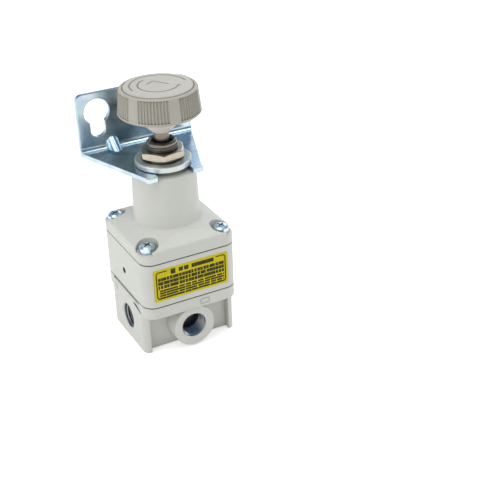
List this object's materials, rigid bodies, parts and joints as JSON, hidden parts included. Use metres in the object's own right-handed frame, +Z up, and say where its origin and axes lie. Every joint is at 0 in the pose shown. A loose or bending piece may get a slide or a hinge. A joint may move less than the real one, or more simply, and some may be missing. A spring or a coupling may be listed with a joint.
{
  "type": "precision pressure regulator",
  "caption": "Square-bodied precision air pressure regulator with a fluted hand knob, opposed threaded ports, a front gauge port and a bent keyhole mounting bracket.",
  "frame": {"origin": "on the adjusting axis, in the plane of the flat bottom of the lower body", "axes": "+Z up along the adjusting axis towards the knob, -Y out of the front with the gauge port and the label, -X out of the inlet port"},
  "size_m": [0.0422, 0.0417, 0.0916],
  "materials": {
    "casting_paint": "warm off-white paint, satin, on cast metal",
    "knob_plastic": "taupe grey moulded plastic",
    "cap_plastic": "taupe grey moulded plastic, a little paler",
    "zinc_plate": "bright zinc plating with a blue passivate",
    "screw_zinc": "bright zinc plating",
    "nickel": "warm nickel plating",
    "washer_zinc": "pale zinc plating",
    "stem_steel": "machined steel",
    "spring_steel": "drawn spring wire",
    "inner_aluminium": "machined aluminium",
    "inner_brass": "machined brass",
    "rubber": "black nitrile rubber",
    "label_film": "yellow printed film"
  },
  "bodies": {
    "housing": {"lower_body": "casting_paint", "middle_body": "casting_paint", "bonnet": "casting_paint", "lower_diaphragm": "rubber", "upper_diaphragm": "rubber", "set_diaphragm": "rubber", "valve_seat": "inner_brass", "valve_spring": "spring_steel", "valve_guide": "inner_brass", "guide_oring": "rubber", "nozzle_body": "inner_aluminium", "nozzle": "inner_brass", "fixed_orifice": "inner_brass", "setting_spring": "spring_steel", "panel_bushing": "stem_steel", "panel_nut": "nickel", "clamp_washer": "washer_zinc", "bracket": "zinc_plate", "cover_screws": "screw_zinc", "cover_spring_washers": "screw_zinc", "front_label": "label_film"},
    "seat_carriage": {"spring_seat": "stem_steel", "seat_ball": "stem_steel"},
    "adjuster": {"adjusting_screw": "stem_steel", "knob": "knob_plastic", "knob_cap": "cap_plastic", "knob_screw": "screw_zinc"},
    "setting_stack": {"spring_plate": "inner_aluminium", "set_plate": "inner_aluminium", "flapper": "stem_steel"},
    "relay": {"relay_spacer": "inner_aluminium", "relay_plate": "inner_aluminium", "relay_nut": "stem_steel", "exhaust_seat": "inner_brass"},
    "valve": {"supply_valve": "stem_steel", "valve_rubber": "rubber"}
  },
  "joints": [
    {"name": "seat_travel", "type": "slide", "parent": "housing", "child": "seat_carriage", "axis": [0, 0, -1], "range_m": [0, 0.004], "deforming": ["setting_spring"]},
    {"name": "knob_turn", "type": "hinge", "parent": "seat_carriage", "child": "adjuster", "pos_m": [0, 0, 0.08], "axis": [0, 0, -1], "range_deg": [0, 1800]},
    {"name": "setting_slide", "type": "slide", "parent": "housing", "child": "setting_stack", "axis": [0, 0, -1], "range_m": [-0.0002, 0.0001], "stiffness_N_per_m": 6000, "deforming": ["set_diaphragm"]},
    {"name": "relay_slide", "type": "slide", "parent": "housing", "child": "relay", "axis": [0, 0, -1], "range_m": [0, 0.0006], "stiffness_N_per_m": 1500, "springref_m": -0.0002, "deforming": ["lower_diaphragm", "upper_diaphragm"]},
    {"name": "valve_slide", "type": "slide", "parent": "housing", "child": "valve", "axis": [0, 0, -1], "range_m": [0, 0.0006], "deforming": ["valve_spring"]}
  ],
  "couplings": [
    {"joint": "seat_travel", "follows": "knob_turn", "m_per_rad": 0.00012732},
    {"joint": "valve_slide", "follows": "relay_slide", "ratio": 1}
  ]
}
